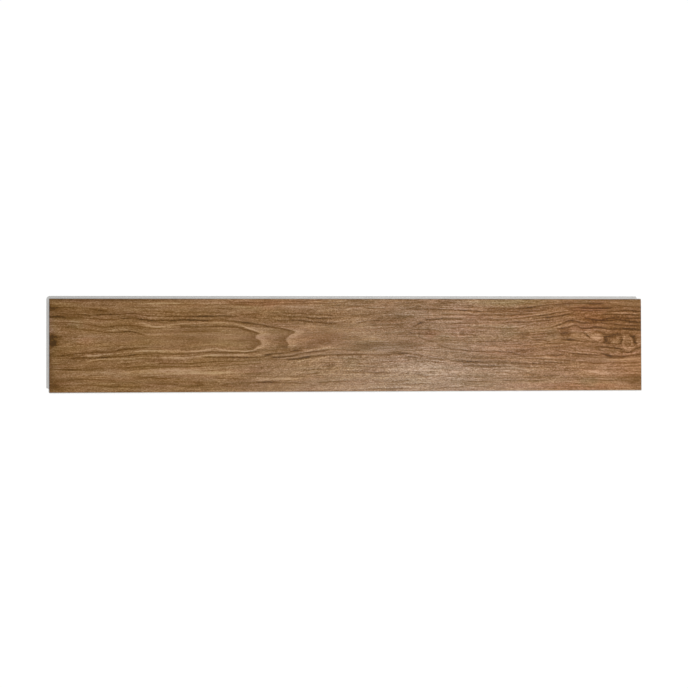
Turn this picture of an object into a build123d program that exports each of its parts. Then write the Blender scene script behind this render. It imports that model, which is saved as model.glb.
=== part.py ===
"""Stone plastic composite click plank, lying face up on its back.

A rigid grey core board carries a bonded wood-look face layer. All four edges of the core are
milled so that planks lock together: the long edges angle in on a tongue, and the short edges
drop straight down on a hook. Two edges end in a lower lip that stands out past the face, and
the two edges opposite are cut away underneath to take the next plank's lip.

Millimetres. +X runs along the grain and +Z up. The origin is on the back of the plank, under
the middle of the face.
"""

import os

from build123d import *

# Laid size: the face that still shows when planks are locked together
face_length = 1220.0
face_width = 190.0
plank_thickness = 5.0

# Face layer: a clear wear layer hot-pressed over the printed film
wear_layer = 0.5
printed_film = 0.07
edge_bevel = 0.4

# Lower lip and the hook along its outer edge
long_lip_reach = 5.8
short_lip_reach = 6.2
lip_thickness = 1.3
hook_rise = 0.8
hook_crown = 0.8
hook_lead_run = 0.9
hook_lead_drop = 1.0
lip_foot_chamfer = 0.4
long_lock_run = 0.45
short_lock_run = 0.1

# Tongue and groove of the long edges
tongue_thickness = 1.1
groove_depth = 1.5
tongue_end_gap = 0.2
tongue_seat_rise = 0.45
tongue_seat_run = 0.2
tongue_seat_slope = 0.45
nose_flat = 0.12

# Snap bead and its notch on the short edges
snap_notch_depth = 0.3
snap_notch_height = 0.8
snap_notch_rise = 1.0
snap_bead_reach = 0.2

# Room left between two locked planks
lock_clearance = 0.1
lip_end_gap = 0.4

# Plan of the lip ends
lip_corner_radius = 7.0
lip_end_chamfer = 3.5

# Cutters: the long edges have rounded corners, and the cross-milled ends sharp ones
root_radius = 0.2
crown_radius = 0.25
cutter_overrun = 2.0

# Levels above the back of the plank
core_top = plank_thickness - wear_layer - printed_film
hook_top = lip_thickness + hook_rise
recess_floor = lip_thickness + lock_clearance
recess_top = hook_top + lock_clearance
groove_floor = lip_thickness + tongue_seat_rise
groove_height = tongue_thickness + 2 * lock_clearance
groove_top = groove_floor + groove_height
tongue_floor = groove_floor + lock_clearance
tongue_top = tongue_floor + tongue_thickness
snap_middle = lip_thickness + snap_notch_rise + snap_notch_height / 2

# Distances from the edge of the face
tongue_reach = groove_depth - tongue_end_gap
long_recess = long_lip_reach + lip_end_gap
short_recess = short_lip_reach + lip_end_gap
half_length = face_length / 2
half_width = face_width / 2


def hook_lip(reach, lock_run, root, crown):
    """A lower lip's hook as (out, up, corner radius), from the lip's floor to the back."""
    crown_outer = reach - hook_lead_run
    crown_inner = crown_outer - hook_crown
    return [
        (crown_inner - lock_run, lip_thickness, root),
        (crown_inner, hook_top, crown),
        (crown_outer, hook_top, crown),
        (reach, hook_top - hook_lead_drop, crown),
        (reach, lip_foot_chamfer, 0),
        (reach - lip_foot_chamfer, 0, 0),
    ]


def hook_recess(reach, lock_run, root):
    """The pocket under the opposite edge for that hook, from its heel to the back."""
    crown_inner = reach - hook_lead_run - hook_crown
    return [
        (-(crown_inner - lock_run - lock_clearance), recess_floor, root),
        (-(crown_inner - lock_clearance), recess_top, root),
        (-(reach + lip_end_gap), recess_top, root),
        (-(reach + lip_end_gap), 0, 0),
    ]


def groove_edge():
    """Long edge with the groove and the lower lip, from the core's top down."""
    end_radius = (groove_height - nose_flat) / 2
    return [
        (0, core_top, 0),
        (0, groove_top, root_radius),
        (-groove_depth, groove_top, end_radius),
        (-groove_depth, groove_floor, end_radius),
        (tongue_seat_run, groove_floor, root_radius),
        (tongue_seat_run + tongue_seat_slope, lip_thickness, root_radius),
        *hook_lip(long_lip_reach, long_lock_run, root_radius, crown_radius),
    ]


def tongue_edge():
    """Long edge with the tongue, cut away underneath for the next plank's lip."""
    nose_radius = (tongue_thickness - nose_flat) / 2
    heel_start = tongue_seat_run + lock_clearance
    return [
        (0, core_top, 0),
        (0, tongue_top, root_radius),
        (tongue_reach, tongue_top, nose_radius),
        (tongue_reach, tongue_floor, nose_radius),
        (-heel_start, tongue_floor, root_radius),
        (-(heel_start + tongue_seat_slope), recess_floor, root_radius),
        *hook_recess(long_lip_reach, long_lock_run, root_radius),
    ]


def snap_edge(depth, height):
    """A shallow notch with sloping sides, or a bead where depth is positive, along a short edge."""
    top, bottom = snap_middle + height / 2, snap_middle - height / 2
    slope = abs(depth)
    return [
        (0, top, 0),
        (depth, top - slope, 0),
        (depth, bottom + slope, 0),
        (0, bottom, 0),
    ]


def drop_edge():
    """Short edge with the lower lip, open to the top so that the next plank drops in."""
    return [
        (0, core_top, 0),
        *snap_edge(-snap_notch_depth, snap_notch_height),
        (0, lip_thickness, 0),
        *hook_lip(short_lip_reach, short_lock_run, 0, 0),
    ]


def over_edge():
    """Short edge that drops over the next plank's lip."""
    bead_height = snap_notch_height - 2 * lock_clearance
    return [
        (0, core_top, 0),
        *snap_edge(snap_bead_reach, bead_height),
        (0, recess_floor, 0),
        *hook_recess(short_lip_reach, short_lock_run, 0),
    ]


def closed_face(corners, plane):
    """A flat face on a plane, from corners given as (right, up, radius)."""
    outline = FilletPolyline(
        *[(right, up) for right, up, _ in corners],
        radius=[radius for _, _, radius in corners],
        close=True,
    )
    return plane * make_face(outline)


def long_profile():
    """The core's section across its two long edges."""
    near_side = [(-half_width - out, up, radius) for out, up, radius in tongue_edge()]
    far_side = [(half_width + out, up, radius) for out, up, radius in groove_edge()]
    return closed_face(near_side[::-1] + far_side, Plane.YZ)


def end_waste(edge, last_step):
    """Section of what an end cutter mills away beyond a short edge, out of the core's top and back."""
    out, up, _ = edge[-1]
    below_back = (out + last_step, up - cutter_overrun, 0)
    beyond = short_lip_reach + cutter_overrun
    above_top = core_top + cutter_overrun
    return [
        (0, above_top, 0),
        *edge[1:],
        below_back,
        (beyond, below_back[1], 0),
        (beyond, above_top, 0),
    ]


def lip_plan():
    """Outline of the core seen from above, with the lips cut short of the recessed edges."""
    left, right = -half_length, half_length + snap_bead_reach
    near, far = -half_width - tongue_reach, half_width
    lip_left, lip_far = left - short_lip_reach, far + long_lip_reach
    far_lip_end = half_length - short_recess
    left_lip_end = -half_width + long_recess
    corners = [
        (left, near, 0),
        (right, near, 0),
        (right, far, 0),
        (far_lip_end, far, 0),
        (far_lip_end - lip_end_chamfer, lip_far, 0),
        (lip_left, lip_far, lip_corner_radius),
        (lip_left, left_lip_end + lip_end_chamfer, 0),
        (left, left_lip_end, 0),
    ]
    return closed_face(corners, Plane.XY)


def milled_end(edge, last_step, side):
    """The cutter's sweep across a short edge, on the side of the plank given by its sign."""
    waste = [(side * (half_length + out), up, radius) for out, up, radius in end_waste(edge, last_step)]
    return extrude(closed_face(waste, Plane.XZ), amount=face_width, both=True)


def stone_plastic_core():
    """The core board: a long profiled bar, cut to its plan and then milled across both ends."""
    bar = extrude(long_profile(), amount=face_length, both=True)
    blank = bar & extrude(lip_plan(), amount=plank_thickness, both=True)
    left_end = milled_end(drop_edge(), -cutter_overrun, -1)
    right_end = milled_end(over_edge(), 0, 1)
    return blank - left_end - right_end


def printed_wear_layer():
    """The wood-look face, bonded all over the core, with a small bevel round its top."""
    layer = Box(
        face_length,
        face_width,
        wear_layer + printed_film,
        align=(Align.CENTER, Align.CENTER, Align.MIN),
    )
    top_edges = layer.faces().sort_by(Axis.Z)[-1].edges()
    return Pos(0, 0, core_top) * chamfer(top_edges, edge_bevel)


os.makedirs("parts", exist_ok=True)
for name, solid in {
    "stone_plastic_core": stone_plastic_core(),
    "printed_wear_layer": printed_wear_layer(),
}.items():
    export_step(solid, f"parts/{name}.step")
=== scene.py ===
"""Wood-look stone plastic composite plank, dressed and lit as it lies face up.

The core board keeps the frame's own mesh and gets its stone plastic finish. The printed face layer
is modelled again, with the grain pressed into its mesh, and gets a wood print whose lines lie in the
same places. Settings are in metres. The grain is drawn in the photo's pixels, and the noise that
fills it in is in millimetres.
"""

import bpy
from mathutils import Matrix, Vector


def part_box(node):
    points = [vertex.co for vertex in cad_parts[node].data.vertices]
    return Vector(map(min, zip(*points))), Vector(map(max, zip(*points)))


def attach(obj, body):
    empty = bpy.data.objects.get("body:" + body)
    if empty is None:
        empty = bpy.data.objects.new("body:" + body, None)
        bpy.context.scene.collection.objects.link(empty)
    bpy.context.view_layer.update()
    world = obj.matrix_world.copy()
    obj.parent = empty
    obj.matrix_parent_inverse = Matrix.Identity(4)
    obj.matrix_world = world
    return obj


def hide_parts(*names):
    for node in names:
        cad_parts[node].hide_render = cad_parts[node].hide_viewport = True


bl_info = {
    "name": "Stone plastic plank",
    "version": (1, 0, 0),
    "blender": (4, 5, 0),
    "location": "3D View > Sidebar > Plank",
    "description": "Finishes a click plank: pressed wood-look face, stone plastic core and studio",
    "category": "Object",
}

import math
from typing import NamedTuple

import bpy
import numpy as np
from bpy.props import FloatProperty, FloatVectorProperty, IntProperty, PointerProperty
from mathutils import Vector, noise

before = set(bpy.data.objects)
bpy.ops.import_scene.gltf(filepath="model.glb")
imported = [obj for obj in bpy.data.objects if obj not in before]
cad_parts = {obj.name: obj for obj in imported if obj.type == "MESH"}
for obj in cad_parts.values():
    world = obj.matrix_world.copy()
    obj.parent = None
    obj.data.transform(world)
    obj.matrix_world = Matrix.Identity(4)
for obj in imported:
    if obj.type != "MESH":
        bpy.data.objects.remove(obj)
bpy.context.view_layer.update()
face_low, face_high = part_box("printed_wear_layer")

MM = 0.001
FACE_PIECE = "wood_print_face"
FIGURE = "grain_figure"
RUN = "grain_run"

# The print is drawn where the photo shows it, in the photo's pixels: right and down from its upper left.
# The face's corners there: upper left, upper right, lower left and lower right
FACE_CORNERS = ((49.2, 299.0), (640.95, 299.7), (49.2, 392.7), (641.8, 389.9))
# Guides that the grain runs along, from the lower side up: level across straight grain in millimetres,
# and course
GUIDES = (
    (-95, ((49, 392.7), (642, 389.9))),
    (-65, ((49, 379.5), (150, 377.5), (248, 378), (345, 376), (440, 375), (540, 376.5), (642, 376.5))),
    (-40, ((49, 369.8), (103, 369), (140, 366.3), (190, 366.8), (228, 364.3), (262, 362.5), (298, 359.6),
           (316, 356), (345, 354.6), (385, 354.8), (412, 353.5), (434, 357), (452, 359.5), (505, 361),
           (565, 362.7), (642, 361.5))),
    (-17, ((49, 361), (103, 357.3), (155, 353.3), (175, 354.5), (214, 351.7), (262, 352.5), (284, 353.8),
           (320, 350.7), (345, 349.5), (395, 349), (434, 346.3), (458, 348.3), (490, 351.2), (524, 353.4),
           (553, 350.5), (588, 352.7), (618, 356), (642, 352))),
    (15, ((49, 339.3), (150, 338), (190, 337), (262, 337.6), (345, 337.5), (440, 338), (482, 338.2),
          (530, 336.2), (572, 333.8), (603, 335), (642, 337))),
    (42, ((49, 323.3), (75, 323.6), (103, 327), (125, 325), (150, 327.5), (205, 327), (253, 327.8),
          (297, 329.4), (330, 329.3), (380, 327.8), (424, 326), (472, 325.7), (510, 325.3), (544, 323.8),
          (573, 321.4), (588, 323.4), (613, 321.6), (642, 323))),
    (55, ((49, 317.8), (100, 319.7), (133, 318.2), (146, 320.3), (228, 320.6), (257, 322.8), (297, 324),
          (322, 325), (366, 322.5), (414, 320), (462, 318.6), (510, 320.5), (544, 317.5), (577, 312),
          (642, 312.3))),
    (72, ((49, 310.4), (252, 311), (400, 311), (472, 313.5), (510, 313.3), (544, 310.3), (577, 306),
          (642, 306.2))),
    (95, ((49, 299), (642, 299.7))),
)
# Quieter and busier wood: middle right and down, half length, half height, slope, and change
BUSY = (
    (184, 339, 73, 10, 0, -0.5),
    (272, 338, 29, 10, 0, -0.4),
    (326, 339, 24, 11, 0, -0.3),
    (448, 340, 63, 53, 0, 0.15),
    (566, 335, 117, 53, 0, 0.35),
)
# Spacing of the faint growth lines across the grain, in millimetres
GROWTH_SPACING = 5.8
# Seed of the noise that roughens what is drawn, so that it comes out the same each time
DRAWING_SEED = 3
# Half length of the fade at a grain line's ends, and what all the lines' tones are multiplied by
LINE_FADE = 3.5
LINE_STRENGTH = 1.5
# Single grain lines: tone, half height, and course
GRAIN_LINES = (
    # Upper left
    (-0.4, 0.8, ((56, 307.5), (75, 308), (95, 309.5), (107, 312))),
    (-0.6, 0.8, ((58, 313.3), (68, 314))),
    (-0.8, 0.8, ((70, 314), (82, 314.7), (90, 315.5))),
    (-0.75, 0.8, ((95, 314.8), (107, 314.5), (122, 314.5))),
    (-0.65, 0.8, ((124, 314), (135, 313.8), (142, 315), (168, 316.5), (200, 316.5), (238, 316.7))),
    (-0.6, 0.8, ((45, 317.3), (62, 317.6), (75, 318.1), (90, 318.6), (106, 319.6), (118, 319.8))),
    (-0.8, 0.8, ((122, 318.5), (130, 318.1), (136, 318.3), (142, 319.9))),
    (-0.75, 1, ((140, 319.6), (148, 320.7), (165, 320.7), (200, 320.4), (222, 320.4), (234, 321.3),
                (246, 322.9), (258, 324.3), (270, 326.8), (282, 329), (294, 331.2))),
    (-0.55, 0.8, ((60, 322.4), (75, 323.3), (85, 324.3), (95, 325.8), (105, 327))),
    (-0.5, 0.8, ((108, 326.5), (122, 325.3), (132, 325.5), (140, 326.5), (148, 328), (162, 328.3))),
    (-0.45, 0.8, ((66, 328), (70, 327), (76, 328.3), (83, 330.2), (92, 331.2))),
    (-0.6, 0.8, ((99, 331.8), (112, 332.2), (124, 332), (131, 331.6), (138, 333), (145, 335.3))),
    (-0.3, 1, ((165, 312.6), (185, 313.2), (200, 312.6), (226, 313))),
    (-0.4, 1.2, ((240, 314.8), (250, 314.6), (261, 314.4))),
    (-0.5, 1.4, ((180, 326.7), (200, 326.8), (222, 326.4), (238, 327))),
    (-0.5, 1, ((238, 327), (246, 329.6), (252, 331.8), (259, 333.6))),
    (0.4, 0.7, ((45, 320.2), (64, 320.8), (84, 322.2))),
    (0.35, 0.7, ((139, 318), (153, 318.4))),
    (0.4, 0.6, ((108, 330.3), (128, 330), (140, 332.3), (150, 334.3), (161, 334.4))),
    (0.5, 0.8, ((138, 323.5), (148, 325), (156, 326.6), (167, 325.4), (185, 323.9))),
    (0.55, 0.7, ((183, 324), (215, 323.2), (230, 323.5), (240, 325), (248, 328.3), (258, 331.3))),
    (0.4, 0.6, ((140, 303.7), (170, 303.6), (228, 303.4))),
    (0.3, 0.7, ((196, 307.5), (245, 307))),
    # Lower left
    (-0.5, 0.8, ((60, 356), (72, 354.4), (87, 352.8))),
    (-0.6, 0.8, ((86, 352.8), (105, 352.3), (115, 351.2), (125, 349.6), (134, 348.5), (146, 347.9))),
    (-0.6, 0.9, ((70, 358.7), (88, 358), (103, 357.4), (118, 356.8), (128, 355.7), (140, 354.5),
                 (150, 353.7))),
    (-0.55, 0.9, ((152, 353.6), (175, 354.3), (200, 352.6), (222, 352.4), (240, 352.9), (260, 351.4))),
    (-0.4, 0.8, ((118, 364.5), (130, 363.2), (140, 362), (150, 361.2), (163, 360.8))),
    (-0.45, 0.8, ((110, 368.4), (130, 367.3), (145, 366.6), (165, 366.8), (185, 367), (202, 366.6))),
    (-0.5, 0.8, ((158, 364), (168, 363.4), (182, 363.4), (196, 363), (215, 362), (236, 361),
                 (262, 359.8))),
    (-0.45, 0.8, ((196, 366.8), (215, 366), (230, 365), (262, 363.6))),
    (-0.5, 0.8, ((66, 370.2), (76, 370.3), (90, 369.6), (107, 368.8))),
    (-0.6, 0.9, ((203, 357), (225, 357.4), (246, 357.6), (262, 356.8), (272, 355.5))),
    (-0.4, 0.9, ((138, 377.2), (158, 377.8), (182, 378.4))),
    (-0.4, 1, ((215, 378), (226, 378.3), (240, 378.5))),
    (-0.35, 0.9, ((62, 380.3), (90, 379.6), (116, 380.5))),
    (-0.4, 0.9, ((80, 385.2), (96, 385), (106, 386.4), (140, 386.5))),
    (-0.45, 1, ((174, 384.6), (188, 386.4), (203, 385.5))),
    (-0.45, 0.9, ((220, 385.6), (230, 384), (240, 382.6), (256, 382.4), (272, 381.9))),
    (-0.3, 0.9, ((130, 383), (172, 383.5))),
    (0.5, 0.8, ((84, 355.6), (100, 355), (115, 353.6), (130, 352), (146, 350.9))),
    (0.6, 0.8, ((144, 350.8), (165, 350.9), (200, 350.8), (216, 349), (232, 350.6), (246, 351.3),
                (262, 347.4))),
    (0.5, 0.8, ((90, 361), (102, 359.2), (120, 359.2), (148, 357.2), (165, 357.4), (190, 357.8))),
    (0.45, 0.8, ((188, 357.4), (205, 355.6), (240, 355.3), (262, 354.8))),
    (0.3, 2.4, ((64, 374), (100, 373.5), (120, 373), (150, 371.3), (186, 371.3), (212, 373),
                (246, 373.4))),
    (0.4, 0.7, ((165, 373.7), (190, 373.5), (230, 373.4))),
    (0.35, 0.7, ((55, 375.8), (90, 375.8))),
    (0.35, 0.8, ((95, 388.7), (150, 389.5))),
    # Above and right of the flames
    (-0.5, 0.8, ((253, 317.5), (262, 318.8), (272, 319.4), (281, 320.8))),
    (-0.6, 0.9, ((279, 320.8), (300, 321.2), (311, 322), (324, 322.9), (337, 323.8))),
    (-0.55, 1.1, ((268, 316.8), (282, 316.4), (291, 317.2), (300, 316.7), (311, 317.8), (330, 318.7),
                  (340, 318.4))),
    (-0.45, 0.8, ((284, 313.2), (300, 313.6), (315, 314.6), (332, 315.5))),
    (-0.5, 0.8, ((330, 315.6), (346, 315.7), (360, 315.3), (379, 314.4))),
    (-0.45, 0.6, ((230, 302), (262, 302.8), (285, 301.6), (300, 301.4), (332, 301.3))),
    (-0.45, 0.7, ((348, 301), (358, 301.1), (370, 301.7))),
    (-0.3, 0.6, ((240, 305), (275, 304.6), (303, 304.3), (332, 304.3))),
    (-0.45, 0.8, ((358, 322.6), (370, 321.4), (380, 320.9))),
    (-0.6, 0.7, ((374, 321.2), (384, 320.8), (398, 320.4))),
    (-0.35, 0.8, ((393, 317.7), (414, 315.8))),
    (-0.35, 0.8, ((395, 305.5), (422, 302))),
    (-0.4, 0.8, ((408, 309), (420, 306.6))),
    (0.4, 0.8, ((345, 309.3), (366, 308.3))),
    # Below and right of the flames
    (-0.75, 0.9, ((264, 355.2), (275, 354.3), (284, 353.4), (292, 351.8), (301, 350))),
    (-0.85, 0.9, ((272, 357), (285, 356.8), (293, 355.5), (300, 353.7), (310, 352), (320, 351),
                  (330, 349.8))),
    (-0.4, 0.8, ((330, 349.8), (346, 349.7), (362, 350.4))),
    (-0.9, 1.3, ((288, 360), (300, 358.8), (311, 356.9))),
    (-0.55, 1, ((311, 356.9), (320, 356), (331, 354.9), (346, 354.6), (360, 354.6), (386, 354.8),
                (400, 353.6), (412, 352.6))),
    (-0.4, 0.8, ((264, 358.4), (276, 359.4), (288, 359.8))),
    (-0.5, 0.8, ((387, 352.6), (400, 352.4), (410, 353.4), (421, 354.4))),
    (-0.4, 0.8, ((290, 376.6), (300, 376.5), (308, 375.4))),
    (-0.35, 1, ((316, 383), (328, 381.6), (344, 381.5))),
    (-0.4, 0.8, ((344, 371.3), (355, 371.3), (359, 372), (365, 370))),
    (-0.4, 0.8, ((362, 372), (375, 372.5), (390, 373))),
    (-0.35, 0.8, ((262, 382), (310, 383))),
    (-0.3, 0.8, ((368, 388), (410, 387.7))),
    (-0.35, 0.8, ((378, 381), (412, 380.6))),
    (-0.35, 0.8, ((404, 373), (424, 374.5))),
    (-0.4, 0.8, ((402, 383.5), (428, 383.7))),
    (0.3, 0.7, ((306, 350.7), (318, 348.8), (326, 347.5), (337, 347.6))),
    (0.35, 0.8, ((298, 361.7), (312, 359.5), (330, 357.5))),
    (0.35, 0.8, ((258, 379.2), (300, 378.7))),
    (0.4, 0.8, ((350, 369.9), (359, 368.8))),
    (0.35, 0.8, ((372, 378), (410, 376.5))),
    # Right of the middle, upper part
    (-0.4, 0.7, ((436, 306), (448, 306), (457, 306.7))),
    (-0.35, 0.7, ((468, 306.4), (480, 307))),
    (-0.55, 0.8, ((488, 308.7), (500, 308.3), (513, 308.4))),
    (-0.5, 0.8, ((514, 309), (526, 308.5), (545, 305.6), (560, 304.2))),
    (-0.45, 0.8, ((414, 309), (440, 309.6), (460, 310.9))),
    (-0.65, 0.8, ((460, 310.9), (470, 311.3), (483, 311.8))),
    (-0.5, 0.8, ((486, 312), (505, 312.2), (518, 311.4), (532, 311.2), (546, 310))),
    (-0.5, 0.8, ((442, 314), (452, 314.4), (462, 314.9))),
    (-0.65, 0.9, ((462, 314.9), (475, 315.3), (492, 315.5), (505, 315.3), (520, 314.8), (531, 313.8))),
    (-0.55, 0.7, ((426, 319.4), (440, 318.6), (450, 318.3), (464, 318.6))),
    (-0.4, 0.8, ((480, 319.5), (495, 320), (505, 320), (520, 319), (534, 317.7), (548, 315.6))),
    (-0.5, 0.8, ((503, 322.5), (515, 322.3), (527, 322))),
    (-0.35, 0.8, ((453, 324), (482, 322.7))),
    (-0.4, 0.8, ((450, 328.2), (470, 327.5), (488, 327.7), (514, 329))),
    (-0.5, 0.8, ((412, 327.2), (418, 325), (425, 321.6))),
    (-0.45, 0.7, ((413, 329.6), (422, 329), (434, 330))),
    (-0.4, 0.8, ((408, 331), (414, 334), (424, 339.2), (432, 341.7))),
    (0.55, 0.6, ((426, 317.2), (445, 316.7), (464, 316.7))),
    (0.4, 0.6, ((410, 323.6), (417, 321), (424, 318.4))),
    (0.45, 0.9, ((512, 327.4), (526, 326))),
    # Right of the middle, lower part
    (-0.6, 0.9, ((439, 345), (444, 346.9), (451, 348.6), (460, 349.8), (470, 350.8))),
    (-0.5, 0.9, ((472, 351), (490, 351.3), (503, 351.9), (513, 353.2), (524, 355.6))),
    (-0.4, 0.8, ((404, 355.6), (414, 357.3), (424, 358.7))),
    (-0.45, 0.8, ((414, 354.4), (426, 356.3), (436, 358.4), (452, 359.4))),
    (-0.5, 0.8, ((424, 360.2), (432, 361.5), (444, 362.2))),
    (-0.5, 0.8, ((452, 360.6), (470, 361.2), (486, 361.8), (502, 362.4), (516, 363.5), (554, 363.6))),
    (-0.45, 0.8, ((462, 365.7), (468, 365.2), (480, 365.4), (498, 366))),
    (-0.4, 0.8, ((476, 356.4), (507, 358.5))),
    (-0.45, 0.8, ((495, 340.4), (505, 340), (514, 340))),
    (-0.35, 0.7, ((445, 375.5), (490, 376))),
    (-0.35, 0.7, ((438, 388.2), (480, 384.3))),
    (-0.35, 0.7, ((498, 371.8), (532, 372.5))),
    (-0.4, 0.6, ((503, 380.4), (545, 380.7))),
    (0.4, 1, ((423, 370), (465, 372.5))),
    (0.4, 0.8, ((470, 347), (480, 346.4), (490, 347))),
    (0.4, 0.8, ((523, 344.6), (540, 343.8), (552, 347.4))),
    # Right end, above the knots
    (-0.6, 0.8, ((558, 304.3), (570, 303.5), (584, 303.6), (604, 304.8))),
    (-0.45, 0.7, ((543, 308.4), (552, 308.2))),
    (-0.55, 0.8, ((564, 308.2), (578, 307.8), (588, 308.4))),
    (-0.75, 0.8, ((588, 308.4), (598, 308.5), (612, 308.2))),
    (-0.5, 0.8, ((538, 316.6), (550, 315), (557, 313.4), (566, 311.8))),
    (-0.65, 0.8, ((568, 311.5), (576, 311.1), (590, 311.3), (602, 311.2))),
    (-0.4, 0.8, ((546, 318.4), (558, 316.5), (568, 314.9), (582, 315.4))),
    (-0.6, 0.8, ((616, 306.3), (632, 306.9), (645, 308))),
    (-0.75, 0.8, ((604, 311.7), (622, 311.3), (632, 311.2), (645, 312))),
    (-0.55, 0.7, ((605, 314.9), (622, 315), (645, 315.3))),
    (-0.65, 0.7, ((606, 318.4), (622, 318.3), (645, 318.8))),
    (-0.7, 0.8, ((584, 319), (592, 319.6), (602, 320.6), (612, 320.6), (624, 321), (632, 322),
                 (645, 322.9))),
    (-0.45, 0.8, ((525, 323.4), (540, 321.2), (554, 320))),
    (-0.7, 0.9, ((554, 327), (560, 325), (565, 322.8), (570, 321.6), (577, 321.6), (582, 323.4))),
    (-0.75, 0.9, ((581, 323.3), (590, 323.5), (600, 322.9), (607, 323.6))),
    (-0.55, 0.8, ((606, 323.6), (620, 325), (632, 326), (645, 326.8))),
    (-0.65, 0.9, ((558, 328.8), (566, 328.3), (572, 326.6), (577, 326.1), (582, 328.2), (588, 328.1))),
    (-0.8, 1, ((588, 328), (595, 327.2), (602, 327.6), (608, 329.3), (618, 329.8), (626, 329.1),
               (634, 329.3), (645, 330.8))),
    (0.35, 0.8, ((612, 303), (628, 303.6), (645, 304.4))),
    (0.35, 0.7, ((612, 313.2), (626, 313.2), (645, 313.8))),
    (0.4, 0.8, ((534, 315.2), (548, 313.4), (560, 311.4), (571, 310.2))),
    (0.6, 0.9, ((552, 328), (562, 326.9), (569, 325.3), (573, 324))),
    # Right end, round and below the knots
    (-0.7, 0.8, ((535, 340.5), (545, 340.2), (550, 341.8))),
    (-0.5, 0.7, ((525, 342), (534, 342.3))),
    (-0.5, 0.8, ((563, 340), (576, 340.2), (588, 342.7))),
    (-0.5, 0.9, ((566, 346.2), (575, 345.2), (582, 345.3), (592, 346.7))),
    (-0.6, 0.9, ((596, 347), (607, 347.8), (616, 348.4), (623, 349.5))),
    (-0.55, 0.9, ((555, 350.4), (565, 352), (576, 354), (590, 354.5), (602, 354.5))),
    (-0.8, 1.1, ((602, 354.4), (611, 356), (619, 356.8), (627, 356.5))),
    (-0.5, 0.9, ((626, 356.5), (645, 353.8))),
    (-1.1, 0.8, ((583.5, 332.4), (587, 335.8), (592, 339))),
    (-0.85, 0.9, ((621, 351.2), (630, 351.8), (636, 349.4), (646, 342.4))),
    (-0.45, 0.8, ((525, 358), (540, 359), (556, 359.8), (570, 360.5), (585, 362), (600, 363.2))),
    (-0.45, 0.7, ((598, 362.2), (622, 362.5), (645, 361.6))),
    (-0.4, 0.7, ((538, 355), (558, 356))),
    (-0.4, 0.6, ((525, 376.5), (538, 376.6))),
    (-0.45, 0.6, ((544, 375.5), (560, 375.2))),
    (-0.35, 0.6, ((574, 378.6), (600, 379.6), (616, 380.2))),
    (-0.4, 0.8, ((578, 368), (612, 370), (630, 370))),
    (0.5, 0.6, ((585, 330), (589, 333.4), (593, 336))),
    (0.35, 0.7, ((623, 354), (633, 353), (645, 349.6))),
    (0.5, 0.8, ((632, 348), (637, 344.6), (645, 342.5))),
    (0.45, 0.9, ((606, 359.3), (626, 359.3), (645, 357.4))),
    (0.5, 0.8, ((585, 370.4), (595, 372), (604, 374.2))),
    (0.4, 0.8, ((566, 381.4), (581, 381.8))),
)
# Fronts of the two flames in the figure: how far dark wood reaches behind and pale wood ahead of the
# front, their tones, and the front's course, given down first
FLAME_FRONTS = (
    (15, -0.55, 13, 0.52, ((327.5, 245), (331, 253), (333.6, 260), (335.5, 256.5), (338, 256),
                          (341.5, 261.5), (344.5, 261.3), (348.5, 254))),
    (15, -0.75, 13, 0.46, ((329.3, 286), (332.3, 295.5), (336, 290.3), (339, 286.5), (343, 288.8),
                           (348.5, 288))),
)
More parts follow.
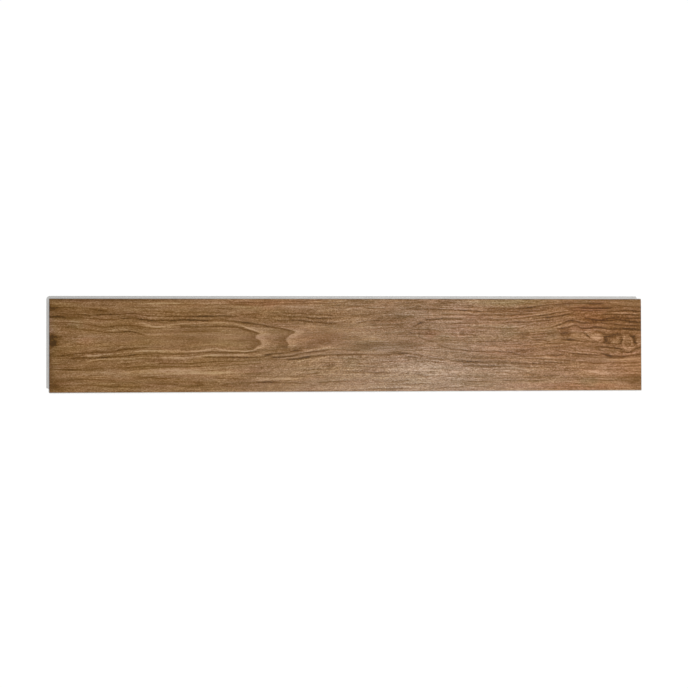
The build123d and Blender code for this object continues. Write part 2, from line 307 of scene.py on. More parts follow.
# Marks in the print and painted edge shade: middle right and down, half length, half height, slope, and
# tone
MARKS_AND_EDGE_SHADE = (
    # Painted shade: the next three darken strips along the face's left and top edges, beside the lip
    (49, 305, 4, 8, 0, -0.4),
    (49, 368, 4.5, 28, 0, -0.5),
    (112, 299.5, 80, 2.2, 0, -0.6),
    (51, 341, 6, 7.5, 0, -1.1),
    (55, 336, 9, 2.2, 0.3, -0.6),
    (55, 343, 7, 2.8, -0.45, -0.8),
    (53, 309, 6, 2.5, 0, -0.7),
    (54, 317, 9, 2, 0, -0.5),
    (54, 386, 6, 4, 0, -0.5),
    (57, 381, 8, 4, 0, -0.3),
    (50, 340, 34, 62, 0, -0.2),
    (62, 386, 12, 5, 0, -0.25),
    (84, 340, 18, 5.5, 0, 0.3),
    (105, 314, 36, 5, 0, -0.4),
    (110, 343.5, 12, 3, 0, -0.15),
    (172, 371, 34, 4, 0, 0.15),
    (190, 330, 30, 4, 0, -0.3),
    (215, 369, 55, 4, 0, 0.2),
    (225, 386, 35, 4, 0, -0.25),
    (229, 338, 12, 4.5, 0, 0.2),
    (295, 322, 50, 4, 0, -0.22),
    (300, 305, 32, 4, 0, 0.3),
    (277, 333, 9, 4, 0, -0.25),
    (312, 346, 9, 4, 0, -0.45),
    (320, 336, 18, 8, 0, -0.3),
    (336, 326, 20, 7, 0, -0.25),
    (325, 342.5, 8, 3.5, 0, -0.35),
    (331, 366, 4, 2.2, 0, -0.4),
    (338, 366.3, 4, 1.2, -0.35, 0.5),
    (355, 328.6, 4, 1.2, 0, -0.35),
    (366, 346, 12, 3, 0, -0.3),
    (370, 338, 6, 1.4, -0.1, 0.5),
    (375, 324.5, 4.5, 2, 0, -0.45),
    (376.5, 350, 3, 1, 0, -0.45),
    (385, 346, 46, 5, 0, -0.4),
    (388, 312, 6, 1.8, -0.2, -0.5),
    (409, 343.5, 18, 4.5, 0.1, -0.4),
    (404, 315.5, 53, 24, 0, -0.12),
    (417.5, 335.5, 1.2, 2.6, 0, 0.6),
    (419.5, 333.5, 1.4, 2.4, 0, -0.6),
    (421, 323, 4.5, 1.8, -0.45, -0.5),
    (421, 350, 4, 1.2, 0, -0.35),
    (430, 333.5, 8, 3, 0, -0.4),
    (433, 341.7, 4.5, 1.2, 0, -0.4),
    (440, 378, 26, 5, 0, 0.3),
    (458.5, 334, 1.5, 2.4, -0.4, 0.4),
    (463, 333.5, 3, 2.5, 0, -0.35),
    (473, 335, 5.5, 2.6, 0, -0.3),
    (508, 371.2, 3, 0.8, 0, 0.7),
    (513, 370, 16, 5, 0, 0.3),
    (520, 354, 22, 4, 0, -0.25),
    (525, 334, 7, 3.4, 0, -0.5),
    (531, 337.5, 1.8, 1.6, 0, 0.8),
    (565, 334.3, 6.5, 4, 0, -0.65),
    (571, 340.5, 3, 1.3, 0, -0.5),
    (575, 332.5, 7, 5, 0, 0.2),
    (578, 345, 92, 63, 0, -0.12),
    (578, 374, 82, 20, 0, 0.15),
    (586.5, 332, 2, 1.6, 0, 0.6),
    (598, 339, 5, 2.6, 0.3, 0.3),
    (599, 372, 12, 3, 0.1, 0.4),
    (602, 346.5, 14, 3.5, 0, -0.25),
    (608, 339, 4, 6, 0, -0.7),
    (608, 355, 6, 2.2, 0.2, -0.6),
    (615, 335.3, 7, 3.2, 0, -0.75),
    (617, 309, 63, 20, 0, -0.25),
    (618, 337.3, 1.8, 1.8, 0, 0.9),
    (621, 340, 1.6, 4.5, 0, -0.5),
    (635.5, 339, 2.4, 6, 0, -0.7),
    (626, 322, 14, 4, 0, 0.25),
    (626, 345, 14, 4, 0, -0.25),
    (626.5, 336.5, 4.5, 2.6, 0, 0.4),
    (628.5, 345, 2.2, 2.5, 0, -0.5),
    (632, 379, 12, 5, 0, -0.55),
    (638, 385, 12, 6, 0, -0.35),
)
# Arcs round the two knot eyes: middle right and down, half length, half height, half thickness, the
# angles where the arc starts and stops, clockwise from the right, and tone
KNOT_ARCS = (
    (596, 337, 3, 1.5, 3, -180, 180, 0.6),
    (598, 338, 8.5, 5.8, 1.8, -120, 60, -0.8),
    (597, 338, 5, 3, 0.7, -60, 150, -0.45),
    (628, 342, 7, 8.7, 1.8, -85, 25, -0.7),
    (628, 342, 7, 8.7, 1.2, -130, -60, -0.6),
    (628, 342, 6.6, 7.8, 1.2, 145, 220, -0.75),
    (627.5, 342, 4.4, 6.3, 1.1, -180, 180, 0.4),
    (627.5, 342, 4.6, 6.8, 1, 25, 155, 0.35),
)
# Angle over which an arc's ends fade
ARC_FADE = 25
# Tints in the print and painted edge shade: middle right and down, half length, half height, slope, and
# warmth
TINTS_AND_EDGE_SHADE = (
    # Painted shade: the next one cools a strip along the face's left edge
    (53, 345, 5, 50, 0, -0.6),
    (76, 324, 8, 5, 0, -0.8),
    (85, 341, 10, 4, 0, 0.8),
    (268, 308, 8, 3.5, 0, 0.8),
    (277, 302.5, 56, 4, 0, 1.4),
    (316, 338, 29, 11, 0, 0.9),
    (352, 361, 10, 7, 0, -0.7),
    (384, 347, 36, 7, 0, -1.0),
    (410, 312, 20, 11, 0, -0.6),
    (431, 334.5, 9, 4.5, 0, 1.2),
    (443, 374.5, 54, 15, 0, -0.6),
    (445, 338, 12, 4, 0, -0.8),
    (462, 331.5, 14, 7, 0, 0.9),
    (495, 315.5, 44, 10, 0, 1.0),
    (508, 331.5, 12, 6, 0, -1.0),
    (509, 350.5, 39, 11, 0, 1.0),
    (510, 302.5, 42, 4, 0, -1.4),
    (552, 334, 8, 6, 0, -1.2),
    (573, 316, 58, 20, 0, 0.6),
    (577, 386, 73, 4, 0, 1.4),
    (585, 302.5, 9, 2, 0, -1.6),
    (590, 311, 18, 14, 0, 0.9),
    (590, 382, 11, 5, 0, -1.6),
    (602, 345, 83, 53, 0, 1.1),
    (631, 364, 20, 15, 0, 0.7),
)
# Greyer wood and painted edge shade: middle right and down, half length, half height, slope, and change
GREYS_AND_EDGE_SHADE = (
    # Painted shade: the next two grey strips along the face's left and top edges
    (49, 345, 4.5, 50, 0, 1.5),
    (112, 299.5, 80, 2.6, 0, 1.5),
    (154, 354, 117, 63, 0, -0.15),
    (394, 347, 34, 7, 0, 0.6),
    (410, 312, 22, 12, 0, 0.5),
    (448, 345, 82, 63, 0, 0.55),
)
# Soft edges of what is drawn: where a tone starts and where it is full, in half heights
LINE_EDGE = (1.2, 0.3)
ARC_EDGE = (1.3, 0.3)
SPOT_EDGE = (1.3, 0.4)
# Half width of a flame front's edge and of its ends' fade, and the share of the pale reach at full tone
FLAME_EDGE = 0.7
FLAME_FADE = 1.5
FLAME_PALE_SHARE = 0.3
# Noise that makes edges ragged and lines come and go: length and height of its waves, and a place in it
RAGGED_WAVES = (13, 3.4, 0.5)
BREAK_WAVES = (22, 3, 3.5)
# How far right and down the noise shifts the marks and, less, the lines
MARK_SHIFT = (3, 1.2)
LINE_SHIFT = (1.5, 0.8)
# Mean strength of a drawn line, and how far it comes and goes
LINE_MEAN = 0.95
LINE_BREAK = 0.4


class Ripple(NamedTuple):
    """A layer of noise: its waves' size on each axis, its seed, and how strong, fine and rough it is."""

    size: tuple
    seed: int
    strength: float = 1.0
    detail: float = 2.0
    roughness: float = 0.5


# How far a step of the seed moves a layer through the noise, and the gain that brings it to about -1 to 1
SEED_STEPS = (7.3, 3.1, 11.7)
NOISE_GAIN = 4.0

# Layers that fill the print in, with sizes in millimetres along and across the face
GRAIN_BEND = Ripple(size=(190, 42, 1), seed=1, strength=1.5)
GRAIN_WOBBLE = Ripple(size=(46, 9, 1), seed=2, strength=0.6)
VEIN = Ripple(size=(240, 6, 1), seed=5, detail=1)
COME_AND_GO = Ripple(size=(90, 8, 1), seed=6)
THREAD = Ripple(size=(150, 1.9, 1), seed=7, strength=0.28, detail=3, roughness=0.65)
FIBRE = Ripple(size=(30, 1.5, 1), seed=8, strength=0.38, detail=3, roughness=0.65)
STROKE = Ripple(size=(10, 1.5, 1), seed=9, strength=0.48, detail=3, roughness=0.65)
CLOUD = Ripple(size=(110, 26, 1), seed=11, strength=0.22)
GROWTH_DRIFT = Ripple(size=(260, 14, 1), seed=12, strength=2.2)
WARMTH = Ripple(size=(60, 8, 1), seed=15, strength=0.6)
GREYNESS = Ripple(size=(80, 16, 1), seed=16, strength=0.7)
FLECK = Ripple(size=(2.8, 1.3, 1), seed=19)
PATCH = Ripple(size=(60, 9, 1), seed=20, strength=0.2)
# Ramps in the print: where a value starts and stops, and the levels that it runs between
COME_AND_GO_RAMP = (-0.4, 0.6, 0.15, 0.9)
VEIN_RAMP = (0, 0.3, -0.5, 0)
GROWTH_LINE_RAMP = (0.4, 1, 0, -0.7)
PRESSED_RAMP = (-0.6, 0.1, 1, 0)
PRINT_ROUGHNESS_RAMP = (-0.8, 0.8, 0.34, 0.28)
PRINT_SHINE_RAMP = (-1.0, 0.0, 0.12, 0.25)
# Growth lines get clearer from left to right: places in millimetres from the middle, and strengths
GROWTH_ALONG_RAMP = (-100, 350, 0.3, 0.6)
# The print is darker at the face's edge
RIM_RAMP = (0.0, 1.4 * MM, 0.72, 1.0)
# Strength of the flecks: in all wood, and what busy wood adds
FLECK_BASE = 0.44
FLECK_BUSY = 0.28
# How far the strokes break the drawn lines up
STROKE_ON_LINES = 0.35
# Place of the middle tone among the colours, and how far one step of tone goes
TONE_MIDDLE = 0.6
TONE_GAIN = 0.4
# What warmth adds to red, green and blue, and what greyness adds to blue
WARMTH_TINT = (0.05, -0.025, -0.03)
GREYNESS_BLUE = 0.2
# Bump of the fine fibres: strength, and depth in metres
PRINT_BUMP = (0.5, 0.00015)
# How far in from the face's edge the grain is pressed in full
PRESSED_RIM = 3 * MM
# Half heights of the blends where the eased edge meets the layer's side, and the side meets the film
SIDE_BLEND = 0.02 * MM
FILM_BLEND = 0.01 * MM
SMOOTH_ANGLE = math.radians(30)

# Layers in the core's finish, with sizes in metres
SPECK = Ripple(size=(0.0009, 0.0009, 0.0009), seed=1, detail=3)
MOTTLE = Ripple(size=(0.03, 0.012, 0.01), seed=2, strength=0.1, detail=3)
SIDE_STREAK = Ripple(size=(0.5, 0.0009, 0.0009), seed=3, detail=3)
END_STREAK = Ripple(size=(0.0009, 0.5, 0.0009), seed=4, detail=3)
STREAK_STRENGTH = 0.12
SPECK_RAMP = (0.25, 1.0, 0, 0.6)
CORE_ROUGHNESS_RAMP = (-1, 1, 0.55, 0.7)
CORE_SHINE = 0.3
# The cutters' streaks turn to run across the plank this far in from the face's end
END_STREAK_START = 8 * MM
END_STREAK_FULL = 6 * MM
# Bump of the streaks and specks: strength, depth in metres, and the specks' share
CORE_BUMP = (0.4, 0.00004)
SPECK_BUMP = 0.4

WHITE = (1, 1, 1, 1)
FLOOR_COLOUR = (0.9, 0.9, 0.9, 1)
FLOOR_ROUGHNESS = 0.9
# Power by which a lamp's light on the floor falls off to the sides
LAMP_FALL_OFF = -2.0
# Width of the camera's sensor in millimetres
SENSOR_WIDTH = 36


class PlankFaceSettings(bpy.types.PropertyGroup):
    """Sizes and colours of the printed face layer."""

    bevel: FloatProperty(
        name="Edge bevel", description="Width of the eased edge round the face",
        default=0.0004, unit="LENGTH")
    relief: FloatProperty(
        name="Grain relief", description="Depth of the grain lines pressed into the face",
        default=0.00012, unit="LENGTH")
    columns: IntProperty(
        name="Mesh columns", description="Cells of the pressed mesh along the grain", default=488)
    rows: IntProperty(
        name="Mesh rows", description="Cells of the pressed mesh across the grain", default=190)
    deep_colour: FloatVectorProperty(
        name="Deepest wood", description="Colour of the darkest marks",
        default=(0.07, 0.029, 0.004), subtype="COLOR")
    line_colour: FloatVectorProperty(
        name="Grain line", description="Colour of the dark lines",
        default=(0.143, 0.062, 0.011), subtype="COLOR")
    dark_colour: FloatVectorProperty(
        name="Dark wood", description="Colour of the darker wood",
        default=(0.178, 0.084, 0.02), subtype="COLOR")
    wood_colour: FloatVectorProperty(
        name="Wood", description="Middle colour of the wood",
        default=(0.25, 0.127, 0.044), subtype="COLOR")
    pale_colour: FloatVectorProperty(
        name="Pale wood", description="Colour of the paler wood",
        default=(0.37, 0.212, 0.097), subtype="COLOR")
    fleck_colour: FloatVectorProperty(
        name="Pale fleck", description="Colour of the palest flecks",
        default=(0.47, 0.295, 0.16), subtype="COLOR")
    film: FloatProperty(
        name="Film", description="Thickness of the printed film under the wear layer",
        default=0.00007, unit="LENGTH")
    clear_colour: FloatVectorProperty(
        name="Wear layer side", description="Colour of the clear wear layer's cut side",
        default=(0.34, 0.25, 0.165), subtype="COLOR")


class PlankCoreSettings(bpy.types.PropertyGroup):
    """Colours of the stone plastic core."""

    board_colour: FloatVectorProperty(
        name="Core", description="Colour of the stone plastic core",
        default=(0.59, 0.58, 0.565), subtype="COLOR")
    speck_colour: FloatVectorProperty(
        name="Stone specks", description="Colour of the darker stone grains",
        default=(0.36, 0.355, 0.345), subtype="COLOR")


class PlankStudioSettings(bpy.types.PropertyGroup):
    """Camera, lamp, room light and floor."""

    camera_place: FloatVectorProperty(
        name="Camera", description="Where the camera hangs over the plank",
        default=(-0.1664, -0.0295, 2.3565), subtype="TRANSLATION", unit="LENGTH")
    camera_turn: FloatVectorProperty(
        name="Camera turn", description="How the camera is turned from straight down",
        default=tuple(map(math.radians, (0.788, -3.734, -0.155))), subtype="EULER")
    lens: FloatProperty(
        name="Lens", description="Focal length in millimetres", default=60)
    overhead_power: FloatProperty(
        name="Overhead softbox", description="Power of the softbox over the plank",
        default=34, subtype="POWER")
    overhead_place: FloatVectorProperty(
        name="Softbox place", description="Where the softbox hangs",
        default=(0.48, -0.51, 2.2), subtype="TRANSLATION", unit="LENGTH")
    overhead_size: FloatVectorProperty(
        name="Softbox size", description="Length and width of the softbox",
        default=(0.5, 0.35), size=2, unit="LENGTH")
    overhead_aim: FloatVectorProperty(
        name="Softbox aim", description="Where on the floor the softbox points",
        default=(0.3, -0.05, 0), subtype="TRANSLATION", unit="LENGTH")
    sky_level: FloatProperty(
        name="Room light", description="Level of the light from all round", default=0.43)
    floor_size: FloatProperty(
        name="Floor size", description="Length and width of the floor", default=40, unit="LENGTH")
    floor_glow: FloatProperty(
        name="Floor white", default=0.63,
        description="How far the floor is lifted to white where the softbox doesn't reach")
    floor_lamp_light: FloatProperty(
        name="Softbox on floor", default=0.59,
        description="Light from the softbox in the middle of the floor, left out of that")


class NodeBench:
    """Lays nodes in one tree. A socket given as a value is linked, and a number is set."""

    def __init__(self, tree):
        self.tree = tree

    def feed(self, socket, value):
        if isinstance(value, bpy.types.NodeSocket):
            self.tree.links.new(value, socket)
        elif value is not None:
            socket.default_value = value

    def add(self, kind, *values, **settings):
        node = self.tree.nodes.new(kind)
        for name, setting in settings.items():
            setattr(node, name, setting)
        for socket, value in zip(node.inputs, values):
            self.feed(socket, value)
        return node

    def maths(self, operation, *values):
        return self.add("ShaderNodeMath", *values, operation=operation).outputs[0]

    def vectors(self, operation, *values):
        return self.add("ShaderNodeVectorMath", *values, operation=operation).outputs[0]

    def total(self, *values):
        result = values[0]
        for value in values[1:]:
            result = self.maths("ADD", result, value)
        return result

    def times(self, *values):
        result = values[0]
        for value in values[1:]:
            result = self.maths("MULTIPLY", result, value)
        return result

    def ramp(self, value, start, stop, low=0.0, high=1.0, shape="SMOOTHSTEP"):
        """Runs from low to high as the value goes from start to stop."""
        node = self.add("ShaderNodeMapRange", value, start, stop, low, high, interpolation_type=shape)
        return node.outputs[0]

    def blend(self, share, first, second):
        return self.maths("ADD", first, self.times(share, self.maths("SUBTRACT", second, first)))

    def pack(self, x, y, z):
        return self.add("ShaderNodeCombineXYZ", x, y, z).outputs[0]

    def split(self, vector):
        return self.add("ShaderNodeSeparateXYZ", vector).outputs

    def mix_colour(self, share, first, second):
        node = self.tree.nodes.new("ShaderNodeMix")
        node.data_type = "RGBA"
        for name, value in (("A", first), ("B", second)):
            socket = [s for s in node.inputs if s.name == name and s.type == "RGBA"][0]
            self.feed(socket, value if isinstance(value, bpy.types.NodeSocket) else (*value, 1))
        self.feed(node.inputs["Factor"], share)
        return [s for s in node.outputs if s.type == "RGBA"][0]

    def colour_ramp(self, value, colours):
        """Runs through evenly spaced colours as the value goes from 0 to 1."""
        node = self.tree.nodes.new("ShaderNodeValToRGB")
        elements = node.color_ramp.elements
        while len(elements) < len(colours):
            elements.new(0.5)
        for step, (element, colour) in enumerate(zip(elements, colours)):
            element.position = step / (len(colours) - 1)
            element.color = (*colour, 1)
        self.feed(node.inputs["Fac"], value)
        return node.outputs["Color"]

    def ripple(self, place, layer):
        """A layer's noise of about -1 to 1, before its strength."""
        scale = [1 / size for size in layer.size]
        shift = [layer.seed * step for step in SEED_STEPS]
        at = self.vectors("MULTIPLY_ADD", place, scale, shift)
        node = self.tree.nodes.new("ShaderNodeTexNoise")
        self.feed(node.inputs["Vector"], at)
        node.inputs["Scale"].default_value = 1.0
        node.inputs["Detail"].default_value = layer.detail
        node.inputs["Roughness"].default_value = layer.roughness
        return self.maths("MULTIPLY_ADD", node.outputs["Fac"], NOISE_GAIN, -NOISE_GAIN / 2)

    def full_ripple(self, place, layer):
        """A layer's noise at its strength."""
        return self.times(self.ripple(place, layer), layer.strength)

    def bump(self, shader, height, strength, depth):
        """Roughens the shader's surface by the height."""
        node = self.tree.nodes.new("ShaderNodeBump")
        node.inputs["Strength"].default_value = strength
        node.inputs["Distance"].default_value = depth
        self.feed(node.inputs["Height"], height)
        self.feed(shader.inputs["Normal"], node.outputs["Normal"])

    def seen(self):
        """1 for what the camera sees, straight, reflected or through something clear, and else 0."""
        rays = self.tree.nodes.new("ShaderNodeLightPath").outputs
        seen = self.maths("MAXIMUM", rays["Is Camera Ray"], rays["Is Glossy Ray"])
        return self.maths("MAXIMUM", seen, rays["Is Transmission Ray"])


def wood_tone(bench, place, figure, run):
    """Tone of the print, from -1 in the darkest lines to 1 in the palest flecks.

    The place along and across the grain, the fine fibres alone and the depth of the pressed lines are
    given too. figure and run are what draw_figure leaves on the mesh.
    """
    drawn, marks, _ = bench.split(figure)
    level, busy, _ = bench.split(run)
    flat = bench.vectors("MULTIPLY", place, (1 / MM, 1 / MM, 0))
    across = bench.total(level, bench.full_ripple(flat, GRAIN_BEND), bench.full_ripple(flat, GRAIN_WOBBLE))
    grain = bench.pack(bench.split(flat)[0], across, 0.0)
    come_and_go = bench.ramp(bench.ripple(grain, COME_AND_GO), *COME_AND_GO_RAMP)
    vein = bench.maths("ABSOLUTE", bench.ripple(grain, VEIN))
    veins = bench.times(bench.ramp(vein, *VEIN_RAMP), come_and_go, busy)
    phase = bench.total(bench.times(across, math.tau / GROWTH_SPACING),
                        bench.full_ripple(grain, GROWTH_DRIFT))
    clear = bench.times(bench.ramp(bench.split(flat)[0], *GROWTH_ALONG_RAMP), come_and_go, busy)
    growth = bench.times(bench.ramp(bench.maths("SINE", phase), *GROWTH_LINE_RAMP), clear)
    thread = bench.times(bench.full_ripple(grain, THREAD), busy)
    fibre = bench.times(bench.full_ripple(grain, FIBRE), busy)
    stroke = bench.ripple(grain, STROKE)
    strokes = bench.times(stroke, STROKE.strength, busy)
    sandy = bench.maths("MULTIPLY_ADD", busy, FLECK_BUSY, FLECK_BASE)
    fleck = bench.times(bench.ripple(grain, FLECK), sandy)
    cloud = bench.full_ripple(flat, CLOUD)
    patch = bench.full_ripple(grain, PATCH)
    drawn = bench.times(drawn, bench.maths("MULTIPLY_ADD", stroke, STROKE_ON_LINES, 1.0))
    lines = bench.total(veins, growth, thread, drawn)
    # marks holds painted shade along the face's top and left edges as well as the print's marks
    tone = bench.total(lines, fibre, strokes, fleck, cloud, patch, marks)
    return tone, grain, bench.total(fibre, stroke), bench.ramp(lines, *PRESSED_RAMP)


def new_material(name):
    """A new material, its bench and shader, and the place on the piece."""
    material = bpy.data.materials.new(name)
    material.use_nodes = True
    bench = NodeBench(material.node_tree)
    shader = material.node_tree.nodes["Principled BSDF"]
    place = bench.tree.nodes.new("ShaderNodeTexCoord").outputs["Object"]
    return material, bench, shader, place


def from_edge(bench, place):
    """How far a point lies inside the face's outline."""
    x, y, _ = bench.split(place)
    from_end = bench.maths("SUBTRACT", face_high.x, bench.maths("ABSOLUTE", x))
    from_side = bench.maths("SUBTRACT", face_high.y, bench.maths("ABSOLUTE", y))
    return bench.maths("MINIMUM", from_end, from_side)


def print_tint(bench, grain, figure, run):
    """What the print's colour is multiplied by where the wood is warmer or greyer."""
    # Warmth and grey hold painted shade too: cooler and greyer along the face's left and top edges
    warmth = bench.total(bench.full_ripple(grain, WARMTH), bench.split(figure)[2])
    grey = bench.total(bench.full_ripple(grain, GREYNESS), bench.split(run)[2])
    red, green, blue = WARMTH_TINT
    return bench.pack(bench.maths("MULTIPLY_ADD", warmth, red, 1.0),
                      bench.maths("MULTIPLY_ADD", warmth, green, 1.0),
                      bench.total(1.0, bench.times(warmth, blue), bench.times(grey, GREYNESS_BLUE)))


def side_of_layer(bench, place, settings, face_colour):
    """The layer's cut side under the eased edge: clear wear layer over the thin printed film."""
    z = bench.split(place)[2]
    eased = face_high.z - settings.bevel
    film_top = face_low.z + settings.film
    on_side = bench.ramp(z, eased - SIDE_BLEND, eased + SIDE_BLEND, 1, 0)
    in_film = bench.ramp(z, film_top - FILM_BLEND, film_top + FILM_BLEND, 1, 0)
    side = bench.mix_colour(in_film, settings.clear_colour, settings.line_colour)
    return bench.mix_colour(on_side, face_colour, side)


def wood_print_material(settings):
    """Satin printed wood under a clear wear layer, whose side shows the film as a dark line."""
    material, bench, shader, place = new_material("printed_wood")
    figure = bench.add("ShaderNodeAttribute", attribute_name=FIGURE).outputs["Vector"]
    run = bench.add("ShaderNodeAttribute", attribute_name=RUN).outputs["Vector"]
    tone, grain, fibres, _ = wood_tone(bench, place, figure, run)
    share = bench.maths("MULTIPLY_ADD", tone, TONE_GAIN, TONE_MIDDLE)
    colour = bench.colour_ramp(share, (
        settings.deep_colour, settings.line_colour, settings.dark_colour,
        settings.wood_colour, settings.pale_colour, settings.fleck_colour))
    tint = print_tint(bench, grain, figure, run)
    rim = bench.ramp(from_edge(bench, place), *RIM_RAMP)
    colour = bench.vectors("MULTIPLY", bench.vectors("MULTIPLY", colour, tint), bench.pack(rim, rim, rim))
    bench.feed(shader.inputs["Base Color"], side_of_layer(bench, place, settings, colour))
    bench.feed(shader.inputs["Roughness"], bench.ramp(tone, *PRINT_ROUGHNESS_RAMP))
    bench.feed(shader.inputs["Specular IOR Level"], bench.ramp(tone, *PRINT_SHINE_RAMP))
    bench.bump(shader, fibres, *PRINT_BUMP)
    return material


def stone_plastic_material(settings):
    """Matt grey core of stone powder and plastic, with fine specks and streaks from the cutters."""
    material, bench, shader, place = new_material("stone_plastic")
    speck = bench.ripple(place, SPECK)
    mottle = bench.ripple(place, MOTTLE)
    x = bench.maths("ABSOLUTE", bench.split(place)[0])
    at_end = bench.ramp(x, face_high.x - END_STREAK_START, face_high.x - END_STREAK_FULL)
    streak = bench.blend(at_end, bench.ripple(place, SIDE_STREAK), bench.ripple(place, END_STREAK))
    share = bench.total(bench.ramp(speck, *SPECK_RAMP), bench.times(mottle, MOTTLE.strength),
                        bench.times(streak, STREAK_STRENGTH))
    colour = bench.colour_ramp(share, (settings.board_colour, settings.speck_colour))
    bench.feed(shader.inputs["Base Color"], colour)
    bench.feed(shader.inputs["Roughness"], bench.ramp(mottle, *CORE_ROUGHNESS_RAMP))
    shader.inputs["Specular IOR Level"].default_value = CORE_SHINE
    bench.bump(shader, bench.total(bench.times(speck, SPECK_BUMP), streak), *CORE_BUMP)
    return material


def studio_floor_material(settings):
    """Floor that is only just white to the camera and in reflections, so that it keeps the shadow."""
    material, bench, shader, place = new_material("studio_floor")
    lamp = Vector(settings.overhead_place)
    middle = (lamp + Vector(settings.overhead_aim)) / 2
    away = bench.vectors("SCALE", bench.vectors("SUBTRACT", place, (middle.x, middle.y, 0)))
    away.node.inputs["Scale"].default_value = 1 / lamp.z
    far = bench.add("ShaderNodeVectorMath", away, away, operation="DOT_PRODUCT").outputs["Value"]
    lamp_share = bench.maths("POWER", bench.maths("ADD", far, 1.0), LAMP_FALL_OFF)
    glow = bench.maths("MULTIPLY_ADD", lamp_share, -settings.floor_lamp_light, settings.floor_glow)
    shader.inputs["Base Color"].default_value = FLOOR_COLOUR
    shader.inputs["Roughness"].default_value = FLOOR_ROUGHNESS
    shader.inputs["Specular IOR Level"].default_value = 0.0
    shader.inputs["Emission Color"].default_value = WHITE
    bench.feed(shader.inputs["Emission Strength"], bench.times(bench.seen(), glow))
    return material


def only(obj):
    """Leaves one object selected and active."""
    bpy.ops.object.select_all(action="DESELECT")
    obj.select_set(True)
    bpy.context.view_layer.objects.active = obj


def rise(values, start, stop):
    """Runs smoothly from 0 to 1 as the values go from start to stop."""
    share = np.clip((values - start) / (stop - start), 0, 1)
    return share * share * (3 - 2 * share)


def on_photo(places):
    """Where places on the face, along and across it, lie in the photo, going by its four corners."""
    corners = [(x, y) for y in (face_high.y, face_low.y) for x in (face_low.x, face_high.x)]
    rows = []
    for (right, down), (x, y) in zip(FACE_CORNERS, corners):
        rows.append((x, y, 1, 0, 0, 0, -right * x, -right * y))
        rows.append((0, 0, 0, x, y, 1, -down * x, -down * y))
    view = np.append(np.linalg.solve(np.array(rows), np.ravel(FACE_CORNERS)), 1).reshape(3, 3)
    seen = np.column_stack((places, np.ones(len(places)))) @ view.T
    return seen[:, :2] / seen[:, 2:]


def in_noise(points, waves):
    """Where points of the photo lie in a noise with waves of that length and height."""
    length, height, layer = waves
    return [(right / length, down / height, layer) for right, down in points]


def ragged(points, reach):
    """The points shifted by noise right and down, so that what is drawn there has rough edges."""
    shifts = [noise.noise_vector(place) for place in in_noise(points, RAGGED_WAVES)]
    return points + np.array(shifts)[:, :2] * reach


def course_at(along, course):
    """How far to the side a course lies at places along it, on a smooth curve through its points."""
    places, sides = np.array(course, float).T
    slopes = np.gradient(sides, places)
    before = np.clip(np.searchsorted(places, along) - 1, 0, len(places) - 2)
    step = places[before + 1] - places[before]
    share = np.clip((along - places[before]) / step, 0, 1)
    climb = sides[before + 1] - sides[before]
    lean = (slopes[before] * step - climb) * (1 - share) - (slopes[before + 1] * step - climb) * share
    return sides[before] + climb * share + share * (1 - share) * lean


def grain_level(points):
    """How far across straight grain the points would lie, going by the guides above and below them."""
    right, down = points.T
    level = np.full(len(points), float(GUIDES[0][0]))
    for (low_level, low_course), (high_level, high_course) in zip(GUIDES, GUIDES[1:]):
        low = course_at(right, low_course)
        high = course_at(right, high_course)
        level += (high_level - low_level) * np.clip((down - low) / (high - low), 0, 1)
    return level


def draw_lines(points):
    """Sum of the single grain lines."""
    right, down = points.T
    total = np.zeros(len(points))
    for tone, half_height, course in GRAIN_LINES:
        start, stop = course[0][0], course[-1][0]
        ends = (rise(right, start - LINE_FADE, start + LINE_FADE)
                * rise(right, stop + LINE_FADE, stop - LINE_FADE))
        gap = np.abs(down - course_at(right, course)) / half_height
        total += tone * ends * rise(gap, *LINE_EDGE)
    return total


def draw_flames(points):
    """Sum of the flames' fronts: dark wood up to each front, and pale wood past it."""
    right, down = points.T
    total = np.zeros(len(points))
    for dark_reach, dark_tone, pale_reach, pale_tone, course in FLAME_FRONTS:
        top, bottom = course[0][0], course[-1][0]
        ends = (rise(down, top - FLAME_FADE, top + FLAME_FADE)
                * rise(down, bottom + FLAME_FADE, bottom - FLAME_FADE))
        past = right - course_at(down, course)
        dark = rise(past, -dark_reach, 0) * rise(past, FLAME_EDGE, -FLAME_EDGE)
        pale = rise(past, -FLAME_EDGE, FLAME_EDGE) * rise(past, pale_reach, FLAME_PALE_SHARE * pale_reach)
        total += ends * (dark_tone * dark + pale_tone * pale)
    return total


def draw_arcs(points):
    """Sum of the arcs round the knot eyes."""
    right, down = points.T
    total = np.zeros(len(points))
    for middle_right, middle_down, half_length, half_height, thickness, start, stop, tone in KNOT_ARCS:
        along = (right - middle_right) / half_length
        across = (down - middle_down) / half_height
        gap = np.abs(np.hypot(along, across) - 1) * (half_length + half_height) / 2 / thickness
        turn = (np.degrees(np.arctan2(across, along)) - start) % 360
        ends = 1
        if stop - start < 360:
            ends = rise(turn, 0, ARC_FADE) * rise(turn, stop - start, stop - start - ARC_FADE)
        total += tone * ends * rise(gap, *ARC_EDGE)
    return total


def daub(points, spots):
    """Sum of soft-edged spots, each with a strength."""
    right, down = points.T
    total = np.zeros(len(points))
    for middle_right, middle_down, half_length, half_height, slope, strength in spots:
        along = right - middle_right
        across = down - middle_down - slope * along
        total += strength * rise(np.hypot(along / half_length, across / half_height), *SPOT_EDGE)
    return total


